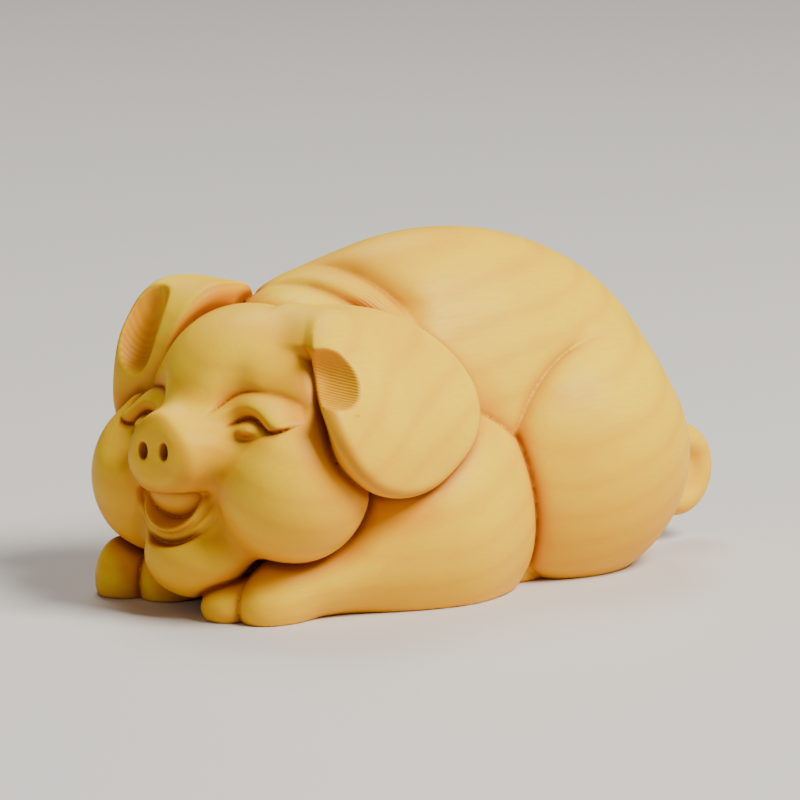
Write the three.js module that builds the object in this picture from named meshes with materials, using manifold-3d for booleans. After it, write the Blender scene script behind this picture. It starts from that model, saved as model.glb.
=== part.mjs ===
// A lying pig carved from one block of wood: its head rests between its front hooves.
// Its surface is one distance field. Head to the left (-X), near side -Y, up +Z, mm.
import * as THREE from 'three';
import { MarchingCubes } from 'three/addons/objects/MarchingCubes.js';
import Module from 'manifold-3d';

const wasm = await Module();
wasm.setup();

// Driving sizes. The forms below are in carver's units, in which the figure is 88 long.
const FIGURE_LENGTH = 88;
const UNIT = FIGURE_LENGTH / 88;
const CELLS = 112;
const HALF_BOX = [47, 28.5, 25];
const BOX_CENTRE = [-1, -3, 21];
const TRIANGLES = 9400;
const FACE_CARE = 4;

// The body
const TRUNK = { centre: [1.5, 0, 15.5], radii: [33.4, 16.5, 27.3] };
const NECK = { centre: [-17, -2, 19.3], radii: [14, 14, 17], blend: 8 };
const HAUNCH = { centre: [15.4, 8, 13.8], radii: [17.6, 12.7, 16.3] };
const CREASE = { depth: 0.8, width: 0.5, bottom: 0.25, softest: 5 };
const NECK_ROLLS = { centre: [-22.9, -3, 20.5], outer: 21.2, inner: 17.6, depth: 1.6 };

// The arms, folded forward along the ground beside the head
const UPPER_ARM = { centre: [-5.8, 12, 9.7], radii: [15.3, 10.3, 14.9] };
const FOREARM = { elbow: [-7, 13.8, 8], wrist: [-28, 12.4, 4.0], elbowRadius: 8.3, wristRadius: 4.4, blend: 5 };
const ARM_SPREAD = 0.10;
const NEAR_HOOF = { centre: [-32.4, -12.6], turn: 35, toe: [4.8, 3.7, 3.7], gap: 2.4 };
const FAR_HOOF = { centre: [-35.2, 6.2], turn: 35, toe: [4.8, 3.9, 5.4], gap: 2.9 };

// The head, in a frame of its own: forward from the nostrils, left, up
const HEAD_ORIGIN = [-42.5, -7.2, 20.5];
const HEAD_TURN = 12;
const HEAD_ROLL = 5;
const SKULL = { centre: [-19.5, 0, 1.0], radii: [14.2, 16.2, 13.9] };
const BROW = { centre: [-15.5, 0, 5.5], radii: [9, 11, 9], blend: 5 };
const TEMPLE = { centre: [-21.5, 11.5, 5], radii: [8, 6.2, 8.2], blend: 5 };
const CHEEK = { centre: [-12, 11, -4.8], radii: [9.6, 8.9, 9.9], blend: 4 };
const SOCKET = { centre: [-1.2, 8.6, 3.2], radii: [5.8, 5.6, 4], blend: 3 };
const CHIN = { centre: [-6.3, -0.2, -13.2], radii: [5.7, 7.4, 5.4], blend: 3.5 };
const MUZZLE = { centre: [-8, 0, -1.2], radii: [6.6, 8.6, 4.6], blend: 2 };
const SNOUT = { halfWidth: 5.1, halfHeight: 4.8, drop: 0.4, widening: 0.035, flare: 0.045, depth: 9, edge: 2.2, blend: 3.5 };
const NOSTRIL = { apart: 1.8, halfWidth: 0.72, halfHeight: 1, depth: 2.2 };
const MOUTH = { centre: [-2, -0.8, -6.6], radii: [5.5, 6.6, 5.2], roof: -5.1 };
const JAW = { centre: [-6.1, -0.6, -8.1], radii: [4.6, 7, 5.5] };
const LIP = { centre: [-1, -0.8, -4.6], radii: [5.2, 5.6, 5], groove: 1.36 };
const TONGUE = { centre: [-6.2, -1.1, -5.3], radii: [3.6, 5.9, 3.9] };
const EYE = { lid: 1.6, lidRise: 1.65, lidMiddle: 8.9, fold: 2.2, foldRise: 4.1, foldMiddle: 8.2, inner: 3.8, outer: 16.8, farOuter: 1.8 };

// The ears, laid back over the neck, in the head's frame before its roll
const NEAR_EAR = { centre: [-22.5, 5], halfLength: 13.6, halfHeight: 10.8, power: 2 };
const FAR_EAR = { centre: [-20.6, 6], halfLength: 10.8, halfHeight: 11.8, power: 2.4 };
const EAR_THICKNESS = 9;
const EAR_LEAN = 0.8;
const EAR_EDGE = 2.2;
const NEAR_SCOOP = { centre: [-11.4, 19.5, 10.4], radii: [4.1, 6.2, 4.2] };
const FAR_SCOOP = { centre: [-7.5, 14.4, 14.5], radii: [7.6, 3.9, 8.5] };

const TAIL = { centre: [37.4, -2.0, 9.1], ring: 3.9, thickness: 2.0, web: 1.1, turn: 14.5 };

const DEGREE = Math.PI / 180;
const clamp = THREE.MathUtils.clamp;
const ramp = (from, to, x) => {
  const t = clamp((x - from) / (to - from), 0, 1);
  return t * t * (3 - 2 * t);
};
const bell = (x, width) => Math.exp(-(x * x) / (width * width));

// Unions and cuts with a rounded seam of width k
function join(a, b, k) {
  const h = Math.max(k - Math.abs(a - b), 0) / k;
  return Math.min(a, b) - h * h * k / 4;
}

// A union with a carved V along its seam, or with a soft hollow there where soft is 1
function abut(a, b, soft) {
  const seam = CREASE.depth * Math.exp(-Math.hypot(a - b, CREASE.bottom) / CREASE.width);
  return join(a, b, 0.1 + CREASE.softest * soft) + (1 - soft) * seam;
}

function cut(a, b, k) {
  return -join(-a, b, k);
}

function overlap(a, b, k) {
  return -join(-a, -b, k);
}

function ellipsoid(x, y, z, centre, radii) {
  const px = (x - centre[0]) / radii[0];
  const py = (y - centre[1]) / radii[1];
  const pz = (z - centre[2]) / radii[2];
  const reach = Math.hypot(px, py, pz);
  if (reach < 1e-6) return -Math.min(...radii);
  return reach * (reach - 1) / Math.hypot(px / radii[0], py / radii[1], pz / radii[2]);
}

// A rod that tapers from one ball to another
function taper(x, y, z, from, to, r1, r2) {
  const axis = to.map((value, i) => value - from[i]);
  const span = axis[0] ** 2 + axis[1] ** 2 + axis[2] ** 2;
  const drop = r1 - r2;
  const slope = span - drop * drop;
  const p = [x - from[0], y - from[1], z - from[2]];
  const along = p[0] * axis[0] + p[1] * axis[1] + p[2] * axis[2];
  const beyond = along - span;
  const off = p.reduce((sum, value, i) => sum + (value * span - axis[i] * along) ** 2, 0);
  const side = Math.sign(drop) * drop * drop * off;
  if (Math.sign(beyond) * slope * beyond * beyond * span > side) {
    return Math.sqrt(off + beyond * beyond * span) / span - r2;
  }
  if (Math.sign(along) * slope * along * along * span < side) {
    return Math.sqrt(off + along * along * span) / span - r1;
  }
  return (Math.sqrt(off * slope / span) + along * drop) / span - r1;
}

// Coordinates in a frame turned about Z and rolled about its forward axis
function makeFrame(turn, roll) {
  const forward = [-Math.cos(turn * DEGREE), -Math.sin(turn * DEGREE), 0];
  const level = [Math.sin(turn * DEGREE), -Math.cos(turn * DEGREE), 0];
  const c = Math.cos(roll * DEGREE);
  const s = Math.sin(roll * DEGREE);
  const left = [level[0] * c, level[1] * c, s];
  const up = [-level[0] * s, -level[1] * s, c];
  return (x, y, z) => {
    const d = [x - HEAD_ORIGIN[0], y - HEAD_ORIGIN[1], z - HEAD_ORIGIN[2]];
    return [forward, left, up].map((axis) => axis[0] * d[0] + axis[1] * d[1] + axis[2] * d[2]);
  };
}

const headFrame = makeFrame(HEAD_TURN, HEAD_ROLL);
const earFrame = makeFrame(HEAD_TURN, 0);

function trunk(x, y, z) {
  let d = ellipsoid(x, y, z, TRUNK.centre, TRUNK.radii);
  d = join(d, ellipsoid(x, y, z, NECK.centre, NECK.radii), NECK.blend);
  // two fat rolls of the neck, as rings about the back of the head
  const c = NECK_ROLLS.centre;
  const ring = Math.hypot(x - c[0], y - c[1], z - c[2]);
  const shown = ramp(30, 36, z) * ramp(-2, -8, x) * ramp(6, -3, y);
  for (const radius of [NECK_ROLLS.outer, NECK_ROLLS.inner]) {
    const off = ring - radius;
    const far = Math.hypot(off, CREASE.bottom) - CREASE.bottom;
    d += shown * NECK_ROLLS.depth * Math.exp(-far / (off > 0 ? 2 : 0.7));
  }
  return d;
}

function haunches(x, y, z) {
  return ellipsoid(x, Math.abs(y), z, HAUNCH.centre, HAUNCH.radii);
}

// A cloven hoof: two toes side by side
function hoof(x, y, z, size) {
  const c = Math.cos(size.turn * DEGREE);
  const s = Math.sin(size.turn * DEGREE);
  const along = (x - size.centre[0]) * c + (y - size.centre[1]) * s;
  const across = (y - size.centre[1]) * c - (x - size.centre[0]) * s;
  const toes = [size.gap, -size.gap].map((off) => ellipsoid(along, across, z, [0, off, 1.9], size.toe));
  return join(toes[0], toes[1], 0.15);
}

function arms(x, y, z) {
  const side = Math.abs(y + 1.5 - (x + 20) * ARM_SPREAD);
  let d = ellipsoid(x, side, z, UPPER_ARM.centre, UPPER_ARM.radii);
  const fore = FOREARM;
  d = join(d, taper(x, side, z, fore.elbow, fore.wrist, fore.elbowRadius, fore.wristRadius), fore.blend);
  d = join(d, hoof(x, y, z, NEAR_HOOF), 3.5);
  return join(d, hoof(x, y, z, FAR_HOOF), 3.5);
}

// How deep the smiling eye is carved at a place on the face
function eye(side, up) {
  const lid = EYE.lid + EYE.lidRise * bell(side - EYE.lidMiddle, 3.2) + 0.08 * Math.max(side - 12.5, 0) ** 2;
  const t = side - EYE.foldMiddle;
  const hump = t > 0 ? 1 - Math.min(t / 9, 1.05) ** 2.1 : Math.sqrt(Math.max(1 - (-t / 4.2) ** 2.4, 0));
  const fold = EYE.fold + EYE.foldRise * hump;
  const span = ramp(EYE.inner, EYE.inner + 1.1, side) * ramp(EYE.outer, EYE.outer - 2.6, side);
  const overFold = up - fold;
  const overLid = up - lid;
  let depth = span * 0.75 * (overFold > 0 ? Math.exp(-overFold / 1.3) : Math.exp(overFold / 0.45));
  depth += 0.8 * bell(Math.hypot(side - 6.2, (up - 7.4) * 0.8), 2.4);
  depth += span * 0.75 * (overLid > 0 ? Math.exp(-overLid / 0.28) : Math.exp(overLid / 0.55));
  return depth - 0.45 * span * bell(up - (lid + fold) / 2, 1);
}

function head(front, left, up) {
  const side = Math.abs(left);
  let d = ellipsoid(front, left, up, SKULL.centre, SKULL.radii);
  d = join(d, ellipsoid(front, left, up, BROW.centre, BROW.radii), BROW.blend);
  d = join(d, ellipsoid(front, side, up, TEMPLE.centre, TEMPLE.radii), TEMPLE.blend);
  d = join(d, ellipsoid(front, side, up, CHEEK.centre, CHEEK.radii), CHEEK.blend);
  d = join(d, ellipsoid(front, left, up, CHIN.centre, CHIN.radii), CHIN.blend);
  d = cut(d, ellipsoid(front, side, up, SOCKET.centre, SOCKET.radii), SOCKET.blend);
  const across = left > 0 || side < 9 ? side : 9 + (side - 9) * EYE.farOuter;
  d += ramp(-16, -12, front) * eye(across, up);
  const low = up + SNOUT.drop;
  const round = Math.hypot(left / Math.max(1 - SNOUT.widening * low, 0.2) / SNOUT.halfWidth, low / SNOUT.halfHeight);
  const wall = (round - 1 - SNOUT.flare * Math.max(-front, 0)) * 4.5;
  const snout = Math.max(overlap(wall, front - 0.2, SNOUT.edge), -SNOUT.depth - front);
  const muzzle = join(ellipsoid(front, left, up, MUZZLE.centre, MUZZLE.radii), snout, SNOUT.blend);
  d = join(d, muzzle, MUZZLE.blend);
  const mouth = overlap(ellipsoid(front, left, up, MOUTH.centre, MOUTH.radii), up - MOUTH.roof, 0.4);
  d = cut(d, mouth, 0.35);
  // the lower jaw: a hollow with a lip about it, a groove under the lip, and the tongue
  const away = Math.hypot((left - LIP.centre[1]) / LIP.radii[1], (up - LIP.centre[2]) / LIP.radii[2]);
  let jaw = overlap(ellipsoid(front, left, up, JAW.centre, JAW.radii), up - MOUTH.roof, 0.4);
  jaw = cut(jaw, ellipsoid(front, left, up, LIP.centre, LIP.radii), 0.5);
  d = join(d, jaw, 1) + 0.2 * bell(away - LIP.groove, 0.07) * ramp(-7, -4, front) * ramp(-7.5, -9.5, up);
  d = join(d, ellipsoid(front, left, up, TONGUE.centre, TONGUE.radii), 0.15);
  const nostril = Math.hypot((side - NOSTRIL.apart) / NOSTRIL.halfWidth, up / NOSTRIL.halfHeight, front / NOSTRIL.depth);
  return cut(d, (nostril - 1) * 0.8, 0.35);
}

function ear(front, left, up) {
  const near = left > 0;
  const side = Math.abs(left);
  const size = near ? NEAR_EAR : FAR_EAR;
  const scoop = near ? NEAR_SCOOP : FAR_SCOOP;
  const rise = Math.max(up + 2, 0);
  const outer = near
    ? 22.6 - 0.034 * rise * rise + 0.1 * (front + 22)
    : 19.6 - 0.12 * up;
  // deeper in, the near ear starts further back, at the temple, and the far one ends sooner
  const deep = clamp(outer - side - 2, 0, 8) * EAR_LEAN;
  const shift = near ? ramp(-2, 4.5, up) * ramp(-21, -14, front) : -ramp(-21, -28, front);
  const a = Math.abs(front + deep * shift - size.centre[0]) / size.halfLength;
  const sag = near ? 0 : 0.12 * Math.max(-16 - front, 0);
  const b = Math.abs(up + sag - size.centre[1]) / size.halfHeight;
  const rim = (a ** size.power + b ** size.power) ** (1 / size.power) - 1;
  let d = overlap(rim * 11.3, side - outer, EAR_EDGE);
  d = overlap(d, outer - (near ? EAR_THICKNESS : EAR_THICKNESS + 2) - side, 1.5);
  return cut(d, ellipsoid(front, side, up, scoop.centre, scoop.radii), 0.5);
}

// The tail is a curl against the rump
function tail(x, y, z) {
  const dx = x - TAIL.centre[0];
  const dy = y - TAIL.centre[1];
  const dz = z - TAIL.centre[2];
  const across = -Math.sin(TAIL.turn * DEGREE) * dx + Math.cos(TAIL.turn * DEGREE) * dy;
  const along = Math.cos(TAIL.turn * DEGREE) * dx + Math.sin(TAIL.turn * DEGREE) * dy;
  const round = Math.hypot(along, dz);
  const curl = Math.hypot(round - TAIL.ring, across) - TAIL.thickness;
  return join(curl, Math.max(Math.abs(across) - TAIL.web, round - TAIL.ring), 0.8);
}

function figure(x, y, z) {
  let d = trunk(x, y, z);
  d = abut(d, haunches(x, y, z), ramp(13, 23, x) * ramp(15, 26, z));
  d = abut(d, arms(x, y, z), 0);
  d = abut(d, head(...headFrame(x, y, z)), 0);
  const [front, left, up] = earFrame(x, y, z);
  const nearRoot = ramp(0, 4, left) * ramp(-24, -18, front);
  d = abut(d, ear(front, left, up), 0.8 * nearRoot * ramp(10.2, 12.8, up));
  d = join(d, tail(x, y, z), 0.6);
  return Math.max(d, -1.5 - z);
}

// The cells joined to a first one through cells on the same side of the surface
function flood(field, first) {
  const seen = new Uint8Array(field.length);
  const inside = field[first] > 0;
  const waiting = [first];
  seen[first] = 1;
  while (waiting.length) {
    const n = waiting.pop();
    for (const step of [1, CELLS, CELLS * CELLS]) {
      const at = Math.floor(n / step) % CELLS;
      for (const next of [at > 0 ? n - step : n, at < CELLS - 1 ? n + step : n]) {
        if (seen[next] || (field[next] > 0) !== inside) continue;
        seen[next] = 1;
        waiting.push(next);
      }
    }
  }
  return seen;
}

// One closed skin: a hollow shut in where two forms meet is filled, and a loose crumb goes
function makeWhole(field) {
  const outside = flood(field, 0);
  field.forEach((value, n) => { if (value <= 0 && !outside[n]) field[n] = 0.02; });
  const middle = Math.floor(CELLS / 2);
  const body = flood(field, middle * (1 + CELLS + CELLS * CELLS));
  field.forEach((value, n) => { if (value > 0 && !body[n]) field[n] = -0.02; });
}

// The zero surface of the field, as shared points and triangles
function polygonise() {
  const cubes = new MarchingCubes(CELLS, new THREE.MeshBasicMaterial(), false, false, 400000);
  cubes.isolation = 0;
  const half = CELLS / 2;
  for (let k = 0; k < CELLS; k++) {
    for (let j = 0; j < CELLS; j++) {
      for (let i = 0; i < CELLS; i++) {
        const p = [i, j, k].map((n, axis) => BOX_CENTRE[axis] + HALF_BOX[axis] * (n - half) / half);
        const d = figure(...p);
        cubes.field[i + j * CELLS + k * CELLS * CELLS] = Math.abs(d) < 0.004 ? -0.004 : -d;
      }
    }
  }
  makeWhole(cubes.field);
  cubes.update();
  const points = [];
  const triangles = [];
  const known = new Map();
  for (let n = 0; n < cubes.count; n += 3) {
    const corners = [0, 1, 2].map((m) => {
      const raw = [0, 1, 2].map((axis) => cubes.positionArray[(n + m) * 3 + axis]);
      const key = raw.map((value) => Math.round(value * 1e5)).join();
      if (!known.has(key)) {
        known.set(key, points.length);
        points.push(raw.map((value, axis) => BOX_CENTRE[axis] + HALF_BOX[axis] * value));
      }
      return known.get(key);
    });
    if (new Set(corners).size === 3) triangles.push(corners);
  }
  return { points, triangles };
}

// Edge collapses in order of the least error, which keep the surface closed and unfolded
function simplify(points, triangles, target) {
  const faces = triangles.map((corners) => corners.slice());
  const touching = points.map(() => new Set());
  const quadrics = points.map(() => new Float64Array(10));
  const version = new Int32Array(points.length);
  const heap = [];
  const normalOf = (a, b, c) => {
    const u = [b[0] - a[0], b[1] - a[1], b[2] - a[2]];
    const v = [c[0] - a[0], c[1] - a[1], c[2] - a[2]];
    return [u[1] * v[2] - u[2] * v[1], u[2] * v[0] - u[0] * v[2], u[0] * v[1] - u[1] * v[0]];
  };
  const dot = (a, b) => a[0] * b[0] + a[1] * b[1] + a[2] * b[2];
  faces.forEach((corners, id) => {
    const [a, b, c] = corners.map((n) => points[n]);
    const n = normalOf(a, b, c);
    const size = Math.hypot(...n);
    if (size === 0) return;
    const unit = n.map((value) => value / size);
    const far = -dot(unit, a);
    const inFace = ramp(-24, -30, a[0]) * ramp(6, 9, a[2]);
    const w = size * (1 + FACE_CARE * inFace);
    const [p, q, r] = unit;
    const terms = [p * p, p * q, p * r, p * far, q * q, q * r, q * far, r * r, r * far, far * far];
    for (const corner of corners) terms.forEach((term, t) => { quadrics[corner][t] += term * w; });
    for (const corner of corners) touching[corner].add(id);
  });
  const apart = (a, b) => Math.hypot(a[0] - b[0], a[1] - b[1], a[2] - b[2]);
  const longest = ([a, b, c]) => Math.max(apart(a, b), apart(b, c), apart(c, a));
  const errorAt = (q, p) => {
    const [x, y, z] = p;
    return q[0] * x * x + 2 * q[1] * x * y + 2 * q[2] * x * z + 2 * q[3] * x + q[4] * y * y
      + 2 * q[5] * y * z + 2 * q[6] * y + q[7] * z * z + 2 * q[8] * z + q[9];
  };
  const best = (a, b) => {
    const q = quadrics[a].map((value, t) => value + quadrics[b][t]);
    const m = new THREE.Matrix3().set(q[0], q[1], q[2], q[1], q[4], q[5], q[2], q[5], q[7]);
    const middle = points[a].map((value, t) => (value + points[b][t]) / 2);
    const size = (q[0] + q[4] + q[7]) / 3;
    if (Math.abs(m.determinant()) > 1e-5 * size ** 3) {
      const v = new THREE.Vector3(-q[3], -q[6], -q[8]).applyMatrix3(m.invert());
      const spot = [v.x, v.y, v.z];
      if (apart(spot, middle) < apart(points[a], points[b])) return [errorAt(q, spot), spot];
    }
    const choices = [middle, points[a], points[b]].map((p) => [errorAt(q, p), p.slice()]);
    return choices.reduce((low, next) => (next[0] < low[0] ? next : low));
  };
  const push = (a, b) => {
    const [error, spot] = best(a, b);
    const item = { error, a, b, spot, stamp: version[a] + version[b] };
    let n = heap.push(item) - 1;
    while (n > 0) {
      const parent = (n - 1) >> 1;
      if (heap[parent].error <= item.error) break;
      heap[n] = heap[parent];
      n = parent;
    }
    heap[n] = item;
  };
  const pop = () => {
    const top = heap[0];
    const last = heap.pop();
    if (heap.length) {
      let n = 0;
      for (;;) {
        let child = 2 * n + 1;
        if (child >= heap.length) break;
        if (child + 1 < heap.length && heap[child + 1].error < heap[child].error) child++;
        if (heap[child].error >= last.error) break;
        heap[n] = heap[child];
        n = child;
      }
      heap[n] = last;
    }
    return top;
  };
  const neighbours = (v) => {
    const set = new Set();
    for (const id of touching[v]) for (const n of faces[id]) if (n !== v) set.add(n);
    return set;
  };
  points.forEach((_, a) => {
    for (const b of neighbours(a)) if (a < b) push(a, b);
  });
  let count = faces.length;
  const alive = points.map(() => true);
  while (count > target && heap.length) {
    const { a, b, spot, stamp } = pop();
    if (!alive[a] || !alive[b] || stamp !== version[a] + version[b]) continue;
    const aroundA = neighbours(a);
    const aroundB = neighbours(b);
    if (!aroundA.has(b)) continue;
    const shared = [...aroundA].filter((n) => aroundB.has(n));
    if (shared.length !== 2) continue;
    const keeps = [a, b].every((v) => [...touching[v]].every((id) => {
      if (faces[id].includes(a) && faces[id].includes(b)) return true;
      const before = faces[id].map((n) => points[n]);
      const after = faces[id].map((n) => (n === v ? spot : points[n]));
      const n0 = normalOf(...before);
      const n1 = normalOf(...after);
      if (dot(n0, n1) <= 0.25 * Math.hypot(...n0) * Math.hypot(...n1)) return false;
      const fullness = Math.hypot(...n1) / longest(after) ** 2;
      return fullness > 0.03 || fullness > Math.hypot(...n0) / longest(before) ** 2;
    }));
    if (!keeps) continue;
    for (const id of [...touching[b]]) {
      if (faces[id].includes(a)) {
        for (const n of faces[id]) touching[n].delete(id);
        faces[id] = null;
        count--;
      } else {
        faces[id] = faces[id].map((n) => (n === b ? a : n));
        touching[a].add(id);
      }
    }
    alive[b] = false;
    points[a] = spot;
    quadrics[b].forEach((value, t) => { quadrics[a][t] += value; });
    version[a]++;
    const ring = neighbours(a);
    for (const n of ring) version[n]++;
    for (const n of ring) {
      for (const other of neighbours(n)) {
        if (other === a || !ring.has(other) || n < other) push(Math.min(n, other), Math.max(n, other));
      }
    }
  }
  return { points, triangles: faces.filter((corners) => corners) };
}

function toSolid(points, triangles) {
  const mesh = new wasm.Mesh({
    numProp: 3,
    vertProperties: new Float32Array(points.flat().map((value) => value * UNIT)),
    triVerts: new Uint32Array(triangles.flat()),
  });
  return new wasm.Manifold(mesh);
}

function boxSolid(size, centre) {
  const box = new THREE.BoxGeometry(...size);
  const points = [];
  const known = new Map();
  const place = box.getAttribute('position');
  const index = [...box.getIndex().array].map((n) => {
    const p = [place.getX(n) + centre[0], place.getY(n) + centre[1], place.getZ(n) + centre[2]];
    const key = p.join();
    if (!known.has(key)) known.set(key, points.push(p) - 1);
    return known.get(key);
  });
  const triangles = [];
  for (let n = 0; n < index.length; n += 3) triangles.push(index.slice(n, n + 3));
  return toSolid(points, triangles);
}

// The finished body: the carved surface, planed flat below so that it stands
function carve() {
  const rough = polygonise();
  const light = simplify(rough.points, rough.triangles, TRIANGLES);
  const used = [...new Set(light.triangles.flat())];
  const place = new Map(used.map((n, m) => [n, m]));
  const points = used.map((n) => light.points[n]);
  const triangles = light.triangles.map((corners) => corners.map((n) => place.get(n)));
  const below = boxSolid([200, 200, 20], [0, 0, -10]);
  const body = toSolid(points, triangles).subtract(below);
  const mesh = body.getMesh();
  const geometry = new THREE.BufferGeometry();
  geometry.setAttribute('position', new THREE.BufferAttribute(mesh.vertProperties, mesh.numProp));
  geometry.setIndex(new THREE.BufferAttribute(mesh.triVerts, 1));
  geometry.computeVertexNormals();
  return geometry;
}

const boxwood = new THREE.MeshStandardMaterial({ color: 0xe2b45a, roughness: 0.42, metalness: 0 });
const pig = new THREE.Mesh(carve(), boxwood);
pig.name = 'pig';

const figurine = new THREE.Group();
figurine.name = 'pig_figurine';
figurine.add(pig);

export default figurine;
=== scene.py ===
"""A pig carved from one block of boxwood, drawn on a pale studio floor.

The surface is one distance field in carver's units, in which the figure is 88 long. It is
the field of the part's own solid, with the finer carving of the eyes, lip and snout added.
Head to the left (-X), near side -Y, up +Z.
"""
from math import cos, radians, sin

import bpy
import numpy as np
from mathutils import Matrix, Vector


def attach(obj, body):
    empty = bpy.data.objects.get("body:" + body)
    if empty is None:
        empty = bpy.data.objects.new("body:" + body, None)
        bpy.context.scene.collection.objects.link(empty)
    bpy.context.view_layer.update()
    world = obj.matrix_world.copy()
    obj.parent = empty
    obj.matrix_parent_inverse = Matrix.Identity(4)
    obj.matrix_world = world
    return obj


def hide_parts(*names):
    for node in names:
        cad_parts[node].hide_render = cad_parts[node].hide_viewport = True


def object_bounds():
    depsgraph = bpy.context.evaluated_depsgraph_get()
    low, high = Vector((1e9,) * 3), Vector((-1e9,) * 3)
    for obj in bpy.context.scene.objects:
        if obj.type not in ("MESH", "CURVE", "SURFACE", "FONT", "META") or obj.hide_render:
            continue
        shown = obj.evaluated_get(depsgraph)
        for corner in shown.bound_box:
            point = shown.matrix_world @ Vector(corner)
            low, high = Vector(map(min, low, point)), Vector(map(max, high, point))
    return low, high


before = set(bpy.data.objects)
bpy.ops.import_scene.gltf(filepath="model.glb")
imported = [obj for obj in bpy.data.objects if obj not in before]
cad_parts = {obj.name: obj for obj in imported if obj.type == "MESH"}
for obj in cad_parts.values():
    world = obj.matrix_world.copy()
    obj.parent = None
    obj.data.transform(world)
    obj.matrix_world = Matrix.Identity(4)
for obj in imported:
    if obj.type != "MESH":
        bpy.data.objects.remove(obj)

bl_info = {
    "name": "Carved boxwood pig",
    "version": (1, 0, 0),
    "blender": (4, 5, 0),
    "location": "3D View > Sidebar > Carved Pig",
    "description": "Carves a lying wooden pig and sets it on a studio floor",
    "category": "Object",
}

CAD_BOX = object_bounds()
FIGURE_LENGTH = 0.088
UNIT = FIGURE_LENGTH / 88

# A form is its centre and its three radii. A blend is the width over which two forms melt
# together, and an edge the width over which a cut or an overlap is rounded.

# The body
BODY_SEED = (0, 0, 15)
TRUNK = ((1.5, 0, 15.5), (33.4, 16.5, 27.3))
NECK = ((-17, -2, 19.3), (14, 14, 17))
NECK_BLEND = 8
HAUNCH = ((15.4, 8, 13.8), (17.6, 12.7, 16.3))
CREASE_DEPTH, CREASE_WIDTH, CREASE_BOTTOM = 0.8, 0.5, 0.25
SEAM_BLEND, SOFT_SEAM_BLEND = 0.1, 5
ROLL_CENTRE = (-22.9, -3, 20.5)
ROLL_RADII = (21.2, 17.6)
ROLL_DEPTH, ROLL_BEHIND, ROLL_BEFORE = 1.6, 2, 0.7

# The arms and hooves
UPPER_ARM = ((-5.8, 12, 9.7), (15.3, 10.3, 14.9))
ELBOW, WRIST = (-7, 13.8, 8), (-28, 12.4, 4.0)
ELBOW_RADIUS, WRIST_RADIUS = 8.3, 4.4
ARM_MIDDLE, ARM_SPREAD, ARM_BLEND = (-20, -1.5), 0.10, 5
HOOF_TURN, TOE_HEIGHT, TOE_BLEND, HOOF_BLEND = 35, 1.9, 0.15, 3.5
NEAR_HOOF = {"centre": (-32.4, -12.6), "toe": (4.8, 3.7, 3.7), "gap": 2.4}
FAR_HOOF = {"centre": (-35.2, 6.2), "toe": (4.8, 3.9, 5.4), "gap": 2.9}

# The head, in its own frame: forward from the nostrils, left, up
HEAD_ORIGIN = (-42.5, -7.2, 20.5)
HEAD_TURN, HEAD_ROLL = 12, 5
SKULL = ((-19.5, 0, 1.0), (14.2, 16.2, 13.9))
BROW, BROW_BLEND = ((-15.5, 0, 5.5), (9, 11, 9)), 5
TEMPLE, TEMPLE_BLEND = ((-21.5, 11.5, 5), (8, 6.2, 8.2)), 5
CHEEK, CHEEK_BLEND = ((-12, 11, -4.8), (9.6, 8.9, 9.9)), 4
CHIN, CHIN_BLEND = ((-6.3, -0.2, -13.2), (5.7, 7.4, 5.4)), 3.5
SOCKET, SOCKET_EDGE = ((-1.2, 8.6, 3.2), (5.8, 5.6, 4)), 3
MUZZLE, MUZZLE_BLEND = ((-8, 0, -1.2), (6.6, 8.6, 4.6)), 2
SNOUT_HALF, SNOUT_BACK, SNOUT_FACE = (5.1, 4.8), -9, 0.2
SNOUT_DROP, SNOUT_WIDENING, SNOUT_FLARE, SNOUT_SIZE = 0.4, 0.035, 0.045, 4.5
SNOUT_EDGE, SNOUT_BLEND = 2, 3.5
DISH_DEPTH, DISH_WIDTH = 0.3, 2.6
NOSTRILS_APART, NOSTRIL, NOSTRIL_SIZE, NOSTRIL_EDGE = 1.8, (2.2, 0.72, 1.0), 0.8, 0.35

# The mouth
MOUTH, MOUTH_EDGE = ((-2, -0.8, -6.6), (5.5, 6.6, 5.2)), 0.35
MOUTH_ROOF, ROOF_EDGE = -5.1, 0.4
JAW, JAW_BLEND = ((-6.1, -0.6, -8.1), (4.6, 7, 5.5)), 1
LIP, LIP_EDGE = ((-1, -0.8, -4.6), (5.2, 5.6, 5)), 0.5
LIP_LINE, LIP_LINE_DEPTH, LIP_LINE_WIDTH = 1.14, 0.28, 0.06
LIP_GROOVE, LIP_GROOVE_DEPTH, LIP_GROOVE_WIDTH = 1.36, 0.2, 0.07
TONGUE, TONGUE_BLEND = ((-6.2, -1.1, -5.3), (3.6, 5.9, 3.9)), 0.15

# The smiling eye, drawn on the face: how far out from its middle line, and how far up
EYE_STARTS, EYE_ENDS, EYE_FRONT = (3.8, 4.9), (16.8, 14.2), (-16, -12)
LID_LEVEL, LID_RISE, LID_MIDDLE, LID_WIDTH = 1.6, 1.65, 8.9, 3.2
LID_TURNS_UP, LID_UPTURN = 12.5, 0.08
LID_DEPTH, LID_ABOVE, LID_BELOW = 0.85, 0.25, 0.4
FOLD_LEVEL, FOLD_RISE, FOLD_MIDDLE = 2.2, 4.1, 8.2
FOLD_OUTER, FOLD_OUTER_POWER, FOLD_OUTER_LIMIT = 9, 2.1, 1.05
FOLD_INNER, FOLD_INNER_POWER = 4.2, 2.4
FOLD_DEPTH, FOLD_ABOVE, FOLD_BELOW = 0.8, 1.3, 0.4
DENT, DENT_DEPTH, DENT_WIDTH, DENT_FLATNESS = (6.2, 7.4), 0.8, 2.4, 0.8
EYEBALL, EYEBALL_HALF = (9.3, 2.3), (3.5, 1.45)
EYEBALL_RIM, EYEBALL_SWELL, LID_SWELL = 0.1, 1.2, 0.45
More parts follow.
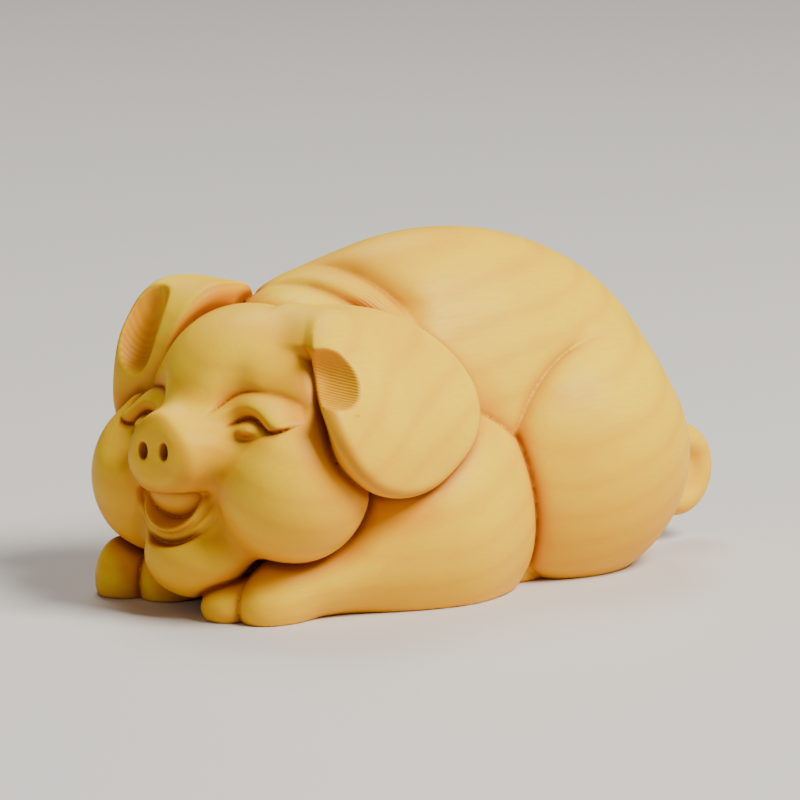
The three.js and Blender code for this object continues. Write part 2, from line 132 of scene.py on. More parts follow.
FAR_EYE_BENDS, FAR_EYE_SQUEEZE = 9, 1.8

# The ears
NEAR_EAR = {"centre": (-22.5, 5), "half": (13.6, 10.8), "power": 2,
            "scoop": ((-11.4, 19.5, 10.4), (4.1, 6.2, 4.2)), "thick": 9, "sag": 0}
FAR_EAR = {"centre": (-20.6, 6), "half": (10.8, 11.8), "power": 2.4,
           "scoop": ((-7.5, 14.4, 14.5), (7.6, 3.9, 8.5)), "thick": 11, "sag": 0.12}
EAR_SIZE, EAR_LEAN, EAR_FACE_EDGE, EAR_BACK_EDGE, SCOOP_EDGE = 11.3, 0.8, 2.2, 1.5, 0.5
NEAR_EAR_OUT, NEAR_EAR_BEND, NEAR_EAR_SPLAY = 22.6, 0.034, 0.1
FAR_EAR_OUT, FAR_EAR_SLOPE = 19.6, 0.12
EAR_SEAM_SOFTNESS = 0.8

TAIL = {"centre": (37.4, -2.0, 9.1), "ring": 3.9, "thick": 2.0, "web": 1.1, "turn": 14.5}
TAIL_WEB_BLEND, TAIL_BLEND = 0.8, 0.6

# The grid that the figure is cut from: its ends on each axis, and the stretch over the face,
# which is finer by the last number
GRID_X = (-45, 44.5, -45, -22, 1.0)
GRID_Y = (-29, 24.5, -25, 8, 1.15)
GRID_Z = (-0.9, 45, 4, 38, 1.1)
GRID_GROWTH = 0.08
ROUGH_STEP, ROUGH_MARGIN = 4, 1.3
SHUT_IN = 0.02
CHUNK = 120000
SETTLE_REACH = 0.3
FLAT_WITHIN = 0.03

# How far out from the wood a crease is looked for, and how much each distance counts
NEAR_REACHES = ((0.35, 0.3), (1.0, 0.35), (2.4, 0.35))
WIDE_REACHES = ((5.0, 0.5), (9.0, 0.5))
FAR_GOUGE, ROLL_GOUGE = 0.4, 0.8


def ramp(start, end, x):
    t = np.clip((x - start) / (end - start), 0, 1)
    return t * t * (3 - 2 * t)


def bell(x, width):
    return np.exp(-(x * x) / (width * width))


def length(*parts):
    return np.sqrt(sum(part * part for part in parts))


def join(a, b, k):
    h = np.maximum(k - np.abs(a - b), 0) / k
    return np.minimum(a, b) - h * h * k / 4


def abut(a, b, soft):
    """A union with a carved V along its seam, or with a soft hollow there where soft is 1."""
    seam = CREASE_DEPTH * np.exp(-length(a - b, CREASE_BOTTOM) / CREASE_WIDTH)
    return join(a, b, SEAM_BLEND + SOFT_SEAM_BLEND * soft) + (1 - soft) * seam


def cut(a, b, k):
    return -join(-a, b, k)


def overlap(a, b, k):
    return -join(-a, -b, k)


def egg(x, y, z, form):
    """Distance to an egg shape, given as its centre and its three radii."""
    (cx, cy, cz), (rx, ry, rz) = form
    px, py, pz = (x - cx) / rx, (y - cy) / ry, (z - cz) / rz
    reach = length(px, py, pz) + 1e-6
    return reach * (reach - 1) / (length(px / rx, py / ry, pz / rz) + 1e-9)


def taper(x, y, z, start, end, r1, r2):
    """Distance to a rod that narrows from one ball to another."""
    axis = np.subtract(end, start)
    span = float(axis @ axis)
    drop = r1 - r2
    slope = span - drop * drop
    p = (x - start[0], y - start[1], z - start[2])
    along = sum(a * b for a, b in zip(p, axis))
    beyond = along - span
    off = sum((value * span - a * along) ** 2 for value, a in zip(p, axis))
    side = np.sign(drop) * drop * drop * off
    result = (np.sqrt(off * slope / span) + along * drop) / span - r1
    result = np.where(np.sign(along) * slope * along ** 2 * span < side,
                      np.sqrt(off + along ** 2 * span) / span - r1, result)
    return np.where(np.sign(beyond) * slope * beyond ** 2 * span > side,
                    np.sqrt(off + beyond ** 2 * span) / span - r2, result)


def head_axes(roll):
    """The head's forward, left and up directions."""
    turn, roll = radians(HEAD_TURN), radians(roll)
    forward = (-cos(turn), -sin(turn), 0)
    left = (sin(turn) * cos(roll), -cos(turn) * cos(roll), sin(roll))
    up = (-sin(turn) * sin(roll), cos(turn) * sin(roll), cos(roll))
    return forward, left, up


def in_head(x, y, z, roll):
    d = (x - HEAD_ORIGIN[0], y - HEAD_ORIGIN[1], z - HEAD_ORIGIN[2])
    return [sum(a * b for a, b in zip(axis, d)) for axis in head_axes(roll)]


def from_rolls(x, y, z):
    """Distance to the point that the neck rolls run around."""
    return length(x - ROLL_CENTRE[0], y - ROLL_CENTRE[1], z - ROLL_CENTRE[2])


def trunk(x, y, z):
    """The body and neck, with the neck rolls on the near side of the nape."""
    d = join(egg(x, y, z, TRUNK), egg(x, y, z, NECK), NECK_BLEND)
    ring = from_rolls(x, y, z)
    shown = ramp(30, 36, z) * ramp(-2, -8, x) * ramp(6, -3, y)
    for radius in ROLL_RADII:
        off = ring - radius
        far = length(off, CREASE_BOTTOM) - CREASE_BOTTOM
        d = d + ROLL_DEPTH * shown * np.exp(-far / np.where(off > 0, ROLL_BEHIND, ROLL_BEFORE))
    return d


def hoof(x, y, z, size):
    """Two toes side by side."""
    c, s = cos(radians(HOOF_TURN)), sin(radians(HOOF_TURN))
    dx, dy = x - size["centre"][0], y - size["centre"][1]
    along, across = dx * c + dy * s, dy * c - dx * s
    toes = [egg(along, across, z, ((0, off, TOE_HEIGHT), size["toe"]))
            for off in (size["gap"], -size["gap"])]
    return join(*toes, TOE_BLEND)


def arms(x, y, z):
    side = np.abs(y - ARM_MIDDLE[1] - (x - ARM_MIDDLE[0]) * ARM_SPREAD)
    d = egg(x, side, z, UPPER_ARM)
    d = join(d, taper(x, side, z, ELBOW, WRIST, ELBOW_RADIUS, WRIST_RADIUS), ARM_BLEND)
    for size in (NEAR_HOOF, FAR_HOOF):
        d = join(d, hoof(x, y, z, size), HOOF_BLEND)
    return d


def line(over, above, below):
    """The section of a carved line, that fades out at one rate above it and another below."""
    return np.where(over > 0, np.exp(-np.abs(over) / above), np.exp(-np.abs(over) / below))


def eye(side, up):
    """How deep the smiling eye is carved at a place on the face."""
    lid = LID_LEVEL + LID_RISE * bell(side - LID_MIDDLE, LID_WIDTH)
    lid = lid + LID_UPTURN * np.maximum(side - LID_TURNS_UP, 0) ** 2
    t = side - FOLD_MIDDLE
    outer = 1 - np.minimum(np.maximum(t, 0) / FOLD_OUTER, FOLD_OUTER_LIMIT) ** FOLD_OUTER_POWER
    inner = np.sqrt(np.maximum(1 - (np.maximum(-t, 0) / FOLD_INNER) ** FOLD_INNER_POWER, 0))
    fold = FOLD_LEVEL + FOLD_RISE * np.where(t > 0, outer, inner)
    span = ramp(*EYE_STARTS, side) * ramp(*EYE_ENDS, side)
    depth = FOLD_DEPTH * span * line(up - fold, FOLD_ABOVE, FOLD_BELOW)
    from_dent = length(side - DENT[0], (up - DENT[1]) * DENT_FLATNESS)
    depth = depth + DENT_DEPTH * bell(from_dent, DENT_WIDTH)
    depth = depth + LID_DEPTH * span * line(up - lid, LID_ABOVE, LID_BELOW)
    ball = length((side - EYEBALL[0]) / EYEBALL_HALF[0], (up - EYEBALL[1]) / EYEBALL_HALF[1])
    lens = EYEBALL_RIM * ramp(1.15, 1.0, ball) - EYEBALL_SWELL * ramp(1.0, 0.1, ball)
    depth = depth + ramp(0.1, -0.1, up - lid) * lens
    return depth - LID_SWELL * span * bell(up - (lid + fold) / 2, 1)


def snout(front, left, up):
    """A short round snout with a shallow dish in its disc."""
    low = up + SNOUT_DROP
    wider = np.maximum(1 - SNOUT_WIDENING * low, 0.2)
    around = length(left / wider / SNOUT_HALF[0], low / SNOUT_HALF[1])
    wall = (around - 1 - SNOUT_FLARE * np.maximum(-front, 0)) * SNOUT_SIZE
    disc = front - SNOUT_FACE + DISH_DEPTH * bell(length(left, up), DISH_WIDTH)
    return np.maximum(overlap(wall, disc, SNOUT_EDGE), SNOUT_BACK - front)


def with_mouth(d, front, left, up):
    """The head with its mouth open: the lower jaw, a lip about it, a groove, the tongue."""
    roof = up - MOUTH_ROOF
    d = cut(d, overlap(egg(front, left, up, MOUTH), roof, ROOF_EDGE), MOUTH_EDGE)
    away = length((left - LIP[0][1]) / LIP[1][1], (up - LIP[0][2]) / LIP[1][2])
    near_lip = ramp(-7, -4, front)
    jaw = overlap(egg(front, left, up, JAW), roof, ROOF_EDGE)
    lip_line = bell(away - LIP_LINE, LIP_LINE_WIDTH) * near_lip * ramp(-5.5, -7, up)
    jaw = jaw + LIP_LINE_DEPTH * lip_line
    jaw = cut(jaw, egg(front, left, up, LIP), LIP_EDGE)
    groove = bell(away - LIP_GROOVE, LIP_GROOVE_WIDTH) * near_lip * ramp(-7.5, -9.5, up)
    d = join(d, jaw, JAW_BLEND) + LIP_GROOVE_DEPTH * groove
    return join(d, egg(front, left, up, TONGUE), TONGUE_BLEND)


def head(front, left, up):
    side = np.abs(left)
    d = join(egg(front, left, up, SKULL), egg(front, left, up, BROW), BROW_BLEND)
    d = join(d, egg(front, side, up, TEMPLE), TEMPLE_BLEND)
    d = join(d, egg(front, side, up, CHEEK), CHEEK_BLEND)
    d = join(d, egg(front, left, up, CHIN), CHIN_BLEND)
    d = cut(d, egg(front, side, up, SOCKET), SOCKET_EDGE)
    squeezed = FAR_EYE_BENDS + (side - FAR_EYE_BENDS) * FAR_EYE_SQUEEZE
    across = np.where((left > 0) | (side < FAR_EYE_BENDS), side, squeezed)
    d = d + ramp(*EYE_FRONT, front) * eye(across, up)
    nose = join(egg(front, left, up, MUZZLE), snout(front, left, up), SNOUT_BLEND)
    d = with_mouth(join(d, nose, MUZZLE_BLEND), front, left, up)
    deep, wide, tall = NOSTRIL
    nostril = length((side - NOSTRILS_APART) / wide, up / tall, front / deep)
    return cut(d, (nostril - 1) * NOSTRIL_SIZE, NOSTRIL_EDGE)


def one_ear(front, side, up, outer, size):
    # deeper in, the near ear starts further back, at the temple, and the far one ends sooner
    deep = np.clip(outer - side - 2, 0, 8) * EAR_LEAN
    shift = -ramp(-21, -28, front) if size["sag"] else ramp(-2, 4.5, up) * ramp(-21, -14, front)
    a = np.abs(front + deep * shift - size["centre"][0]) / size["half"][0]
    sag = size["sag"] * np.maximum(-16 - front, 0)
    b = np.abs(up + sag - size["centre"][1]) / size["half"][1]
    rim = (a ** size["power"] + b ** size["power"]) ** (1 / size["power"]) - 1
    d = overlap(rim * EAR_SIZE, side - outer, EAR_FACE_EDGE)
    d = overlap(d, outer - size["thick"] - side, EAR_BACK_EDGE)
    return cut(d, egg(front, side, up, size["scoop"]), SCOOP_EDGE)


def ears(front, left, up):
    side = np.abs(left)
    near = NEAR_EAR_OUT - NEAR_EAR_BEND * np.maximum(up + 2, 0) ** 2
    near = near + NEAR_EAR_SPLAY * (front + 22)
    far = FAR_EAR_OUT - FAR_EAR_SLOPE * up
    return np.where(left > 0, one_ear(front, side, up, near, NEAR_EAR),
                    one_ear(front, side, up, far, FAR_EAR))


def tail(x, y, z):
    """A ring on edge, with a thin web inside it."""
    c, s = cos(radians(TAIL["turn"])), sin(radians(TAIL["turn"]))
    dx, dy, dz = (value - at for value, at in zip((x, y, z), TAIL["centre"]))
    along, across = c * dx + s * dy, c * dy - s * dx
    circle = length(along, dz)
    curl = length(circle - TAIL["ring"], across) - TAIL["thick"]
    web = np.maximum(np.abs(across) - TAIL["web"], circle - TAIL["ring"])
    return join(curl, web, TAIL_WEB_BLEND)


def figure(points):
    """Distance of each point from the carved surface, below zero inside the wood."""
    result = np.empty(len(points))
    for start in range(0, len(points), CHUNK):
        x, y, z = points[start:start + CHUNK].T
        soft = ramp(13, 23, x) * ramp(15, 26, z)
        d = abut(trunk(x, y, z), egg(x, np.abs(y), z, HAUNCH), soft)
        d = abut(d, arms(x, y, z), 0)
        d = abut(d, head(*in_head(x, y, z, HEAD_ROLL)), 0)
        front, left, up = in_head(x, y, z, 0)
        near_root = ramp(0, 4, left) * ramp(-24, -18, front) * ramp(10.2, 12.8, up)
        d = abut(d, ears(front, left, up), EAR_SEAM_SOFTNESS * near_root)
        d = join(d, tail(x, y, z), TAIL_BLEND)
        result[start:start + CHUNK] = np.maximum(d, -z)
    return result


def spaced(start, end, fine_from, fine_to, fine, coarse):
    """Grid lines from start to end that are closer together in one stretch."""
    lines = [start]
    while lines[-1] < end:
        here = lines[-1]
        away = max(fine_from - here, here - fine_to, 0)
        lines.append(here + min(coarse, fine + away * GRID_GROWTH))
    return np.array(lines)


def reached(free, seed):
    """The grid points joined to a seed through free ones, found in sweeps along each axis."""
    seen = np.zeros_like(free)
    seen[seed] = True
    known = 0
    while seen.sum() > known:
        known = seen.sum()
        for axis in range(3):
            for way in (1, -1):
                layers, open_layers = (np.moveaxis(grid, axis, 0)[::way] for grid in (seen, free))
                for n in range(1, len(layers)):
                    layers[n] |= layers[n - 1] & open_layers[n]
    return seen


def make_whole(values, body_seed):
    """Fill hollows that are shut in where two forms meet, and drop loose crumbs."""
    outside = reached(values > 0, (0, 0, -1))
    values[(values > 0) & ~outside] = -SHUT_IN
    body = reached(values <= 0, body_seed)
    values[(values <= 0) & ~body] = SHUT_IN


def sample(lines):
    """The field on the whole grid, worked out in full only near the surface."""
    coarse = [line[::ROUGH_STEP] for line in lines]
    points = np.stack(np.meshgrid(*coarse, indexing="ij"), -1).reshape(-1, 3)
    rough = figure(points).reshape([len(line) for line in coarse])
    index = [np.minimum(np.round(np.arange(len(all_lines)) / ROUGH_STEP).astype(int), len(few) - 1)
             for all_lines, few in zip(lines, coarse)]
    values = rough[np.ix_(*index)]
    reach = max(np.diff(line).max() for line in lines) * ROUGH_STEP * ROUGH_MARGIN
    i, j, k = np.nonzero(np.abs(values) < reach)
    values[i, j, k] = figure(np.stack([lines[0][i], lines[1][j], lines[2][k]], -1))
    make_whole(values, tuple(np.searchsorted(line, at) for line, at in zip(lines, BODY_SEED)))
    return values


def skin(lines, values):
    """A closed mesh of quads through the places where the field is zero."""
    inside = values < 0
    corners = [(a, b, c) for a in (0, 1) for b in (0, 1) for c in (0, 1)]
    size = [n - 1 for n in values.shape]
    count = sum(inside[a:a + size[0], b:b + size[1], c:c + size[2]].astype(np.int8)
                for a, b, c in corners)
    cells = np.stack(np.nonzero((count > 0) & (count < 8)), -1)
    number = np.full(size, -1, dtype=np.int64)
    number[tuple(cells.T)] = np.arange(len(cells))
    total, crossings = np.zeros((len(cells), 3)), np.zeros(len(cells))
    for one in corners:
        for axis in range(3):
            if one[axis]:
                continue
            a = cells + one
            b = a.copy()
            b[:, axis] += 1
            fa, fb = values[tuple(a.T)], values[tuple(b.T)]
            hit = (fa < 0) != (fb < 0)
            t = np.where(hit, fa / np.where(hit, fa - fb, 1), 0)
            for m in range(3):
                pa, pb = lines[m][a[:, m]], lines[m][b[:, m]]
                total[:, m] += np.where(hit, pa + (pb - pa) * t, 0)
            crossings += hit
    points = total / crossings[:, None]
    quads = []
    for axis in range(3):
        u, v = (axis + 1) % 3, (axis + 2) % 3
        low = [slice(None)] * 3
        high = [slice(None)] * 3
        low[axis], high[axis] = slice(0, -1), slice(1, None)
        first, second = inside[tuple(low)], inside[tuple(high)]
        edges = np.stack(np.nonzero(first != second), -1)
        edges = edges[(edges[:, u] > 0) & (edges[:, u] < size[u])
                      & (edges[:, v] > 0) & (edges[:, v] < size[v])]
        ring = []
        for du, dv in ((-1, -1), (0, -1), (0, 0), (-1, 0)):
            cell = edges.copy()
            cell[:, u] += du
            cell[:, v] += dv
            ring.append(number[tuple(cell.T)])
        ring = np.stack(ring, -1)
        flip = ~first[tuple(edges.T)]
        ring[flip] = ring[flip][:, ::-1]
        quads.append(ring)
    return points, np.concatenate(quads)


def slope(points, reach=0.05):
    """The direction in which the field rises, at each point."""
    out = np.empty_like(points)
    for axis in range(3):
        ahead, behind = points.copy(), points.copy()
        ahead[:, axis] += reach
        behind[:, axis] -= reach
        out[:, axis] = (figure(ahead) - figure(behind)) / (2 * reach)
    return out


def settle(points, limit):
    """Points moved on to the surface itself."""
    for _ in range(2):
        rise = slope(points)
        move = figure(points)[:, None] * rise / np.maximum((rise ** 2).sum(1), 0.25)[:, None]
        points = points - np.clip(move, -limit, limit)
    return points


def hollows(points):
    """How deep in a groove, and in a wide hollow, each point lies: 0 on open wood, up to 1."""
    out = slope(points)
    out /= np.maximum(np.linalg.norm(out, axis=1), 1e-6)[:, None]
    return [sum(np.clip((reach - figure(points + out * reach)) / reach, 0, 1) * weight
                for reach, weight in reaches) for reaches in (NEAR_REACHES, WIDE_REACHES)]


def gouges(points):
    """How strong the fine strokes of the gouge are, and how far across them each point is."""
    x, y, z = points.T
    front, left, up = in_head(x, y, z, 0)
    side = np.abs(left)
    marked = []
    for ear in (NEAR_EAR, FAR_EAR):
        parts = zip((front, side, up), *ear["scoop"])
        off = np.abs(length(*((value - at) / radius for value, at, radius in parts)) - 1)
        marked.append(ramp(0.08, 0.03, off))
    near = marked[0] * ramp(12, 9.5, up) * (left > 0)
    far = FAR_GOUGE * marked[1] * (left < 0)
    ring = from_rolls(x, y, z)
    roll = ROLL_GOUGE * ramp(17.8, 18.5, ring) * ramp(21, 20, ring)
    roll = roll * ramp(31, 34, z) * ramp(-6, -9, y) * ramp(-8, -12, x)
    roll = roll * ramp(0.5, 0.2, np.abs(trunk(x, y, z)))
    in_ears = np.where(left > 0, up - 0.5 * front, 0.8 * front - 0.6 * side)
    return np.maximum(np.maximum(near, far), roll), np.where(roll > 0, ring, in_ears)


class PigSettings(bpy.types.PropertyGroup):
    face_step: bpy.props.FloatProperty(
        name="Face step", description="Spacing of the carving grid over the face",
        default=0.00022, min=0.00015, precision=5, unit="LENGTH")
    body_step: bpy.props.FloatProperty(
        name="Body step", description="Spacing of the carving grid over the body",
        default=0.0004, min=0.0003, precision=5, unit="LENGTH")
    most_faces: bpy.props.IntProperty(
        name="Most triangles", description="The finished mesh has at most this many triangles",
        default=190000, min=20000)
    wood: bpy.props.FloatVectorProperty(
        name="Wood", description="Colour of the open, polished wood",
        default=(1.0, 0.67, 0.0), size=3, min=0, max=1, subtype="COLOR")
    # warm serves the grain, rings and cloud of the wood, and also the painted shade underneath and
    # in wide hollows
    warm: bpy.props.FloatVectorProperty(
        name="Warm wood", description="Colour where the polish has gathered",
        default=(0.80, 0.29, 0.0), size=3, min=0, max=1, subtype="COLOR")
    # crease is painted shade at the bottom of the grooves, partly polish gathered there, and it
    # also colours the gouge strokes
    crease: bpy.props.FloatVectorProperty(
        name="Creases", description="Colour at the bottom of the grooves",
        default=(0.35, 0.07, 0.0), size=3, min=0, max=1, subtype="COLOR")
    roughness: bpy.props.FloatProperty(
        name="Roughness", description="How dull the polished wood is",
        default=0.45, min=0, max=1, subtype="FACTOR")


class StageSettings(bpy.types.PropertyGroup):
    turn: bpy.props.FloatProperty(
        name="View turn", description="How far the camera stands round from the pig's side",
        default=radians(-33), subtype="ANGLE", unit="ROTATION")
    rise: bpy.props.FloatProperty(
        name="View height", description="Angle of the camera above the floor",
        default=radians(10.3), subtype="ANGLE", unit="ROTATION")
    distance: bpy.props.FloatProperty(
        name="View distance", description="Distance of the camera from its aim",
        default=0.802, min=0.2, unit="LENGTH")
    lens: bpy.props.FloatProperty(
        name="Lens", description="Focal length of the camera, in millimetres",
        default=292.5, min=20, unit="CAMERA")
    aim: bpy.props.FloatVectorProperty(
        name="Aim", description="The point at the middle of the picture",
        default=(-0.00202, 0.00144, 0.02137), size=3, subtype="TRANSLATION", unit="LENGTH")
    floor: bpy.props.FloatVectorProperty(
        name="Floor", description="Colour of the floor",
        default=(0.68, 0.66, 0.63), size=3, min=0, max=1, subtype="COLOR")


class Nodes:
    """Places nodes in the tree of a new material."""

    def __init__(self, name):
        self.material = bpy.data.materials.new(name)
        self.material.use_nodes = True
        self.tree = self.material.node_tree
        self.tree.nodes.clear()

    def give(self, socket, value):
        if isinstance(value, bpy.types.NodeSocket):
            self.tree.links.new(value, socket)
        else:
            socket.default_value = value

    def add(self, kind, inputs=None, **settings):
        node = self.tree.nodes.new(kind)
        for name, value in settings.items():
            setattr(node, name, value)
        for name, value in (inputs or {}).items():
            self.give(node.inputs[name], value)
        return node

    def maths(self, operation, *values):
        node = self.add("ShaderNodeMath", operation=operation)
        for socket, value in zip(node.inputs, values):
            self.give(socket, value)
        return node.outputs[0]

    def times(self, a, b):
        return self.maths("MULTIPLY", a, b)

    def plus(self, a, b):
        return self.maths("ADD", a, b)

    def mix(self, factor, a, b):
        node = self.add("ShaderNodeMix", data_type="RGBA")
        for socket, value in zip((node.inputs[0], node.inputs[6], node.inputs[7]), (factor, a, b)):
            self.give(socket, value)
        return node.outputs[2]

    def noise(self, vector, scale, detail=2.0, roughness=0.5):
        return self.add("ShaderNodeTexNoise", {
            "Vector": vector, "Scale": scale, "Detail": detail, "Roughness": roughness}).outputs[0]

    def spread(self, value, low, high, to_low=0.0, to_high=1.0):
        return self.add("ShaderNodeMapRange", {
            "Value": value, "From Min": low, "From Max": high,
            "To Min": to_low, "To Max": to_high}).outputs[0]

    def mapped(self, vector, **inputs):
        named = {name.capitalize(): value for name, value in inputs.items()}
        return self.add("ShaderNodeMapping", {"Vector": vector, **named}).outputs[0]

    def attribute(self, name):
        return self.add("ShaderNodeAttribute", attribute_name=name).outputs["Fac"]

    def surface(self, inputs):
        shader = self.add("ShaderNodeBsdfPrincipled", inputs)
        self.add("ShaderNodeOutputMaterial", {"Surface": shader.outputs[0]})
        return self.material


def boxwood(settings):
    """Polished pale wood with fine grain, faint rings and small specks, warmer and darker in its
    creases and hollows, partly from gathered polish and partly as painted shade, and warmer
    underneath as painted shade.
    """
    n = Nodes("boxwood")
    place = n.add("ShaderNodeTexCoord").outputs["Object"]
    warm, crease = (*settings.warm, 1), (*settings.crease, 1)
    dark = (0.20, 0.07, 0.015, 1)

    # the grain runs along the figure, and the rings around an axis low inside it
    along = n.mapped(place, rotation=(0.06, -0.10, 0.12), scale=(60, 900, 900))
    fibre = n.noise(along, 3.0, 4.0, 0.6)
    cloud = n.noise(place, 55.0, 3.0, 0.55)
    bend = n.noise(place, 30.0, 2.0)
    centred = n.mapped(place, location=(0.004, -0.012, 0.032), rotation=(0.05, 0.14, 0.08))
    parts = n.add("ShaderNodeSeparateXYZ", {"Vector": centred}).outputs
    across = n.maths("SQRT", n.plus(n.times(parts[1], parts[1]), n.times(parts[2], parts[2])))
    rings_per_metre, rings_bend = 1800.0, 11.0
    phase = n.plus(n.times(across, rings_per_metre), n.times(bend, rings_bend))
    rings = n.maths("POWER", n.spread(n.maths("SINE", phase), -1, 1), 3.0)

    # painted shade: warmer on faces that turn downward and in wide hollows, darker in the grooves;
    # in the hollows and grooves part of it is also polish gathered there
    near = n.attribute("near_hollow")
    wide = n.attribute("wide_hollow")
    normal = n.add("ShaderNodeNewGeometry").outputs["Normal"]
    facing_up = n.add("ShaderNodeSeparateXYZ", {"Vector": normal}).outputs[2]
    colour = (*settings.wood, 1)
    for amount in (
        n.spread(cloud, 0.35, 0.7, 0.0, 0.35),
        n.times(n.spread(fibre, 0.45, 0.75), 0.20),
        n.times(rings, 0.24),
        # painted shade on the undersides
        n.spread(facing_up, 0.35, -0.7, 0.0, 0.6),
        # painted shade in wide hollows, partly polish gathered there
        n.spread(wide, 0.06, 0.60, 0.0, 0.75),
    ):
        colour = n.mix(amount, colour, warm)
    # painted shade darkens the grooves, partly polish gathered there too
    colour = n.mix(n.spread(near, 0.10, 0.75, 0.0, 0.9), colour, crease)

    # the strokes of the gouge, and a few small dark specks away from them
    gouged = n.attribute("gouged")
    strokes_per_unit, wobble = 16.0, n.times(n.noise(place, 500.0, 2.0), 3.0)
    wander = n.plus(n.times(n.attribute("across_gouges"), strokes_per_unit), wobble)
    stroke = n.times(n.spread(n.maths("SINE", wander), -1, 1), gouged)
    colour = n.mix(n.times(stroke, 0.35), colour, crease)
    dots = n.add("ShaderNodeTexVoronoi", {
        "Vector": n.mapped(place, scale=(120, 260, 260)), "Scale": 1.0}).outputs
    lot = n.add("ShaderNodeSeparateColor", {"Color": dots["Color"]}).outputs[0]
    speck = n.times(n.spread(dots["Distance"], 0.10, 0.04), n.maths("GREATER_THAN", lot, 0.93))
    speck = n.times(speck, n.spread(gouged, 0.1, 0.0))
    colour = n.mix(n.times(speck, 0.75), colour, dark)

    dull = n.plus(n.spread(fibre, 0.3, 0.8, settings.roughness - 0.06, settings.roughness + 0.08),
                  n.spread(near, 0.1, 0.8, 0.0, 0.2))
    marks = n.plus(n.times(n.noise(place, 420.0, 2.0), 0.5), n.times(speck, -1.0))
    fine = n.add("ShaderNodeBump", {
        "Height": n.plus(n.times(fibre, 0.35), marks), "Strength": 0.35, "Distance": 0.00006})
    bump = n.add("ShaderNodeBump", {
        "Height": n.times(stroke, -1.0), "Strength": 0.8, "Distance": 0.00007,
        "Normal": fine.outputs[0]})
    return n.surface({"Base Color": colour, "Roughness": dull, "Normal": bump.outputs[0],
                      "IOR": 1.42, "Specular IOR Level": 0.22})


def floor_paper(settings):
    """Plain matt paper."""
    n = Nodes("floor_paper")
    grain = n.noise(n.add("ShaderNodeTexCoord").outputs["Object"], 900.0, 2.0)
    fleck = (0.5, 0.48, 0.45, 1)
    colour = n.mix(n.spread(grain, 0.3, 0.7, 0.0, 0.04), (*settings.floor, 1), fleck)
    return n.surface({"Base Color": colour, "Roughness": 0.6})


class CARVEDPIG_OT_carve(bpy.types.Operator):
    """Carve the pig and give it its polished wood"""
    bl_idname = "carved_pig.carve"
    bl_label = "Carve the pig"

    def execute(self, context):
        settings = context.scene.carved_pig
        fine, coarse = settings.face_step / UNIT, settings.body_step / UNIT
        lines = [spaced(*reach, fine * share, coarse) for *reach, share in (GRID_X, GRID_Y, GRID_Z)]
        points, quads = skin(lines, sample(lines))
        points = settle(points, SETTLE_REACH * fine)
        points[np.abs(points[:, 2]) < FLAT_WITHIN, 2] = 0
        mesh = bpy.data.meshes.new("carved_pig")
        mesh.vertices.add(len(points))
        mesh.vertices.foreach_set("co", (points * UNIT).ravel())
        mesh.loops.add(quads.size)
        mesh.loops.foreach_set("vertex_index", quads.ravel())
        mesh.polygons.add(len(quads))
        mesh.polygons.foreach_set("loop_start", np.arange(0, quads.size, 4))
        mesh.update(calc_edges=True)
        pig = bpy.data.objects.new("carved_pig", mesh)
        context.scene.collection.objects.link(pig)
        lighter = pig.modifiers.new("lighter", "DECIMATE")
        lighter.ratio = min(1.0, settings.most_faces / (2 * len(quads)))
        depsgraph = context.evaluated_depsgraph_get()
        reduced = bpy.data.meshes.new_from_object(pig.evaluated_get(depsgraph))
        pig.modifiers.clear()
        pig.data = reduced
        reduced.name = "carved_pig"
        at = np.empty(len(reduced.vertices) * 3)
        reduced.vertices.foreach_get("co", at)
        at = at.reshape(-1, 3) / UNIT
        names = ("near_hollow", "wide_hollow", "gouged", "across_gouges")
        for name, values in zip(names, (*hollows(at), *gouges(at))):
            layer = reduced.attributes.new(name, "FLOAT", "POINT")
            layer.data.foreach_set("value", values)
        reduced.polygons.foreach_set("use_smooth", np.ones(len(reduced.polygons), dtype=bool))
        reduced.materials.clear()
        reduced.materials.append(boxwood(settings))
        print("carved", len(quads), "quads, kept", len(reduced.polygons), "faces")
        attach(pig, "root")
        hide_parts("pig")
        return {"FINISHED"}


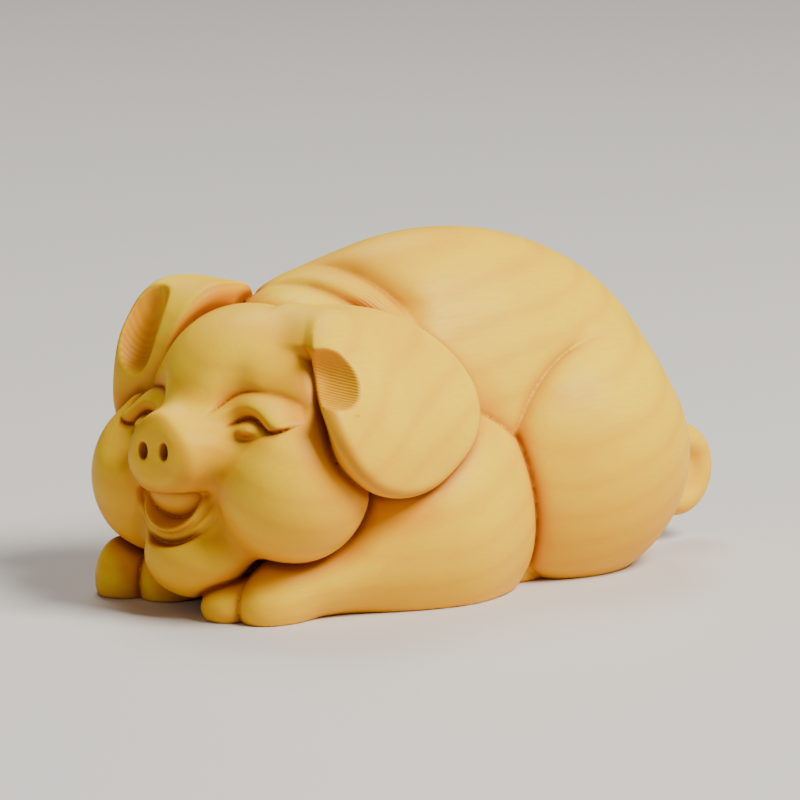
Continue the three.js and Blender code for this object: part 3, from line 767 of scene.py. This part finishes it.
class CARVEDPIG_OT_stage(bpy.types.Operator):
    """Lay the floor and set the lights and the camera"""
    bl_idname = "carved_pig.stage"
    bl_label = "Set the stage"

    def execute(self, context):
        settings = context.scene.carved_pig_stage
        half, gap, lamp_rise = 3.0, 0.00005, 0.02
        corners = [(-half, -half, 0), (half, -half, 0), (half, half, 0), (-half, half, 0)]
        mesh = bpy.data.meshes.new("floor")
        mesh.from_pydata(corners, [], [(0, 1, 2, 3)])
        mesh.materials.append(floor_paper(settings))
        floor = bpy.data.objects.new("floor", mesh)
        floor.location.z = min(0.0, CAD_BOX[0][2]) - gap
        context.scene.collection.objects.link(floor)

        aim = Vector(settings.aim)
        towards = Vector((sin(settings.turn) * cos(settings.rise),
                          -cos(settings.turn) * cos(settings.rise), sin(settings.rise)))
        data = bpy.data.cameras.new("camera")
        data.sensor_width = 36
        data.lens = settings.lens
        data.clip_start = 0.01
        camera = bpy.data.objects.new("camera", data)
        camera.location = aim + settings.distance * towards
        camera.rotation_euler = (-towards).to_track_quat("-Z", "Y").to_euler()
        context.scene.collection.objects.link(camera)
        context.scene.camera = camera

        right = Vector((cos(settings.turn), sin(settings.turn), 0))
        back = Vector((-towards.x, -towards.y, 0)).normalized()
        up = Vector((0, 0, 1))
        lamps = (
            ("key", 0.50 * right - 0.32 * back + 0.68 * up, 0.36, 15.0, (1.0, 0.97, 0.92)),
            ("fill", -0.75 * right - 0.45 * back + 0.35 * up, 0.5, 0.7, (1.0, 0.96, 0.9)),
            ("top", -0.10 * right + 0.45 * back + 0.7 * up, 0.4, 3.0, (1.0, 0.98, 0.95)),
        )
        for name, at, size, power, colour in lamps:
            light = bpy.data.lights.new(name, "AREA")
            light.shape = "SQUARE"
            light.size = size
            light.energy = power
            light.color = colour
            lamp = bpy.data.objects.new(name, light)
            lamp.location = at + Vector((0, 0, lamp_rise))
            lamp.rotation_euler = (-at).to_track_quat("-Z", "Y").to_euler()
            context.scene.collection.objects.link(lamp)
        world = bpy.data.worlds.new("studio")
        world.use_nodes = True
        background = world.node_tree.nodes["Background"]
        background.inputs["Color"].default_value = (1.0, 0.97, 0.92, 1)
        background.inputs["Strength"].default_value = 0.12
        context.scene.world = world
        return {"FINISHED"}


class CARVEDPIG_PT_panel(bpy.types.Panel):
    """Lists the pig's settings and its makers"""
    bl_idname = "CARVEDPIG_PT_panel"
    bl_label = "Carved Pig"
    bl_space_type = "VIEW_3D"
    bl_region_type = "UI"
    bl_category = "Carved Pig"

    def draw(self, context):
        layout = self.layout
        for settings in (context.scene.carved_pig, context.scene.carved_pig_stage):
            for name in settings.__annotations__:
                layout.prop(settings, name)
        layout.operator(CARVEDPIG_OT_stage.bl_idname)
        layout.operator(CARVEDPIG_OT_carve.bl_idname)


CLASSES = (PigSettings, StageSettings, CARVEDPIG_OT_stage, CARVEDPIG_OT_carve, CARVEDPIG_PT_panel)


def register():
    for item in CLASSES:
        bpy.utils.register_class(item)
    bpy.types.Scene.carved_pig = bpy.props.PointerProperty(type=PigSettings)
    bpy.types.Scene.carved_pig_stage = bpy.props.PointerProperty(type=StageSettings)


def unregister():
    del bpy.types.Scene.carved_pig_stage
    del bpy.types.Scene.carved_pig
    for item in reversed(CLASSES):
        bpy.utils.unregister_class(item)


def main():
    register()
    bpy.ops.carved_pig.stage()
    bpy.ops.carved_pig.carve()


if __name__ == "__main__":
    main()
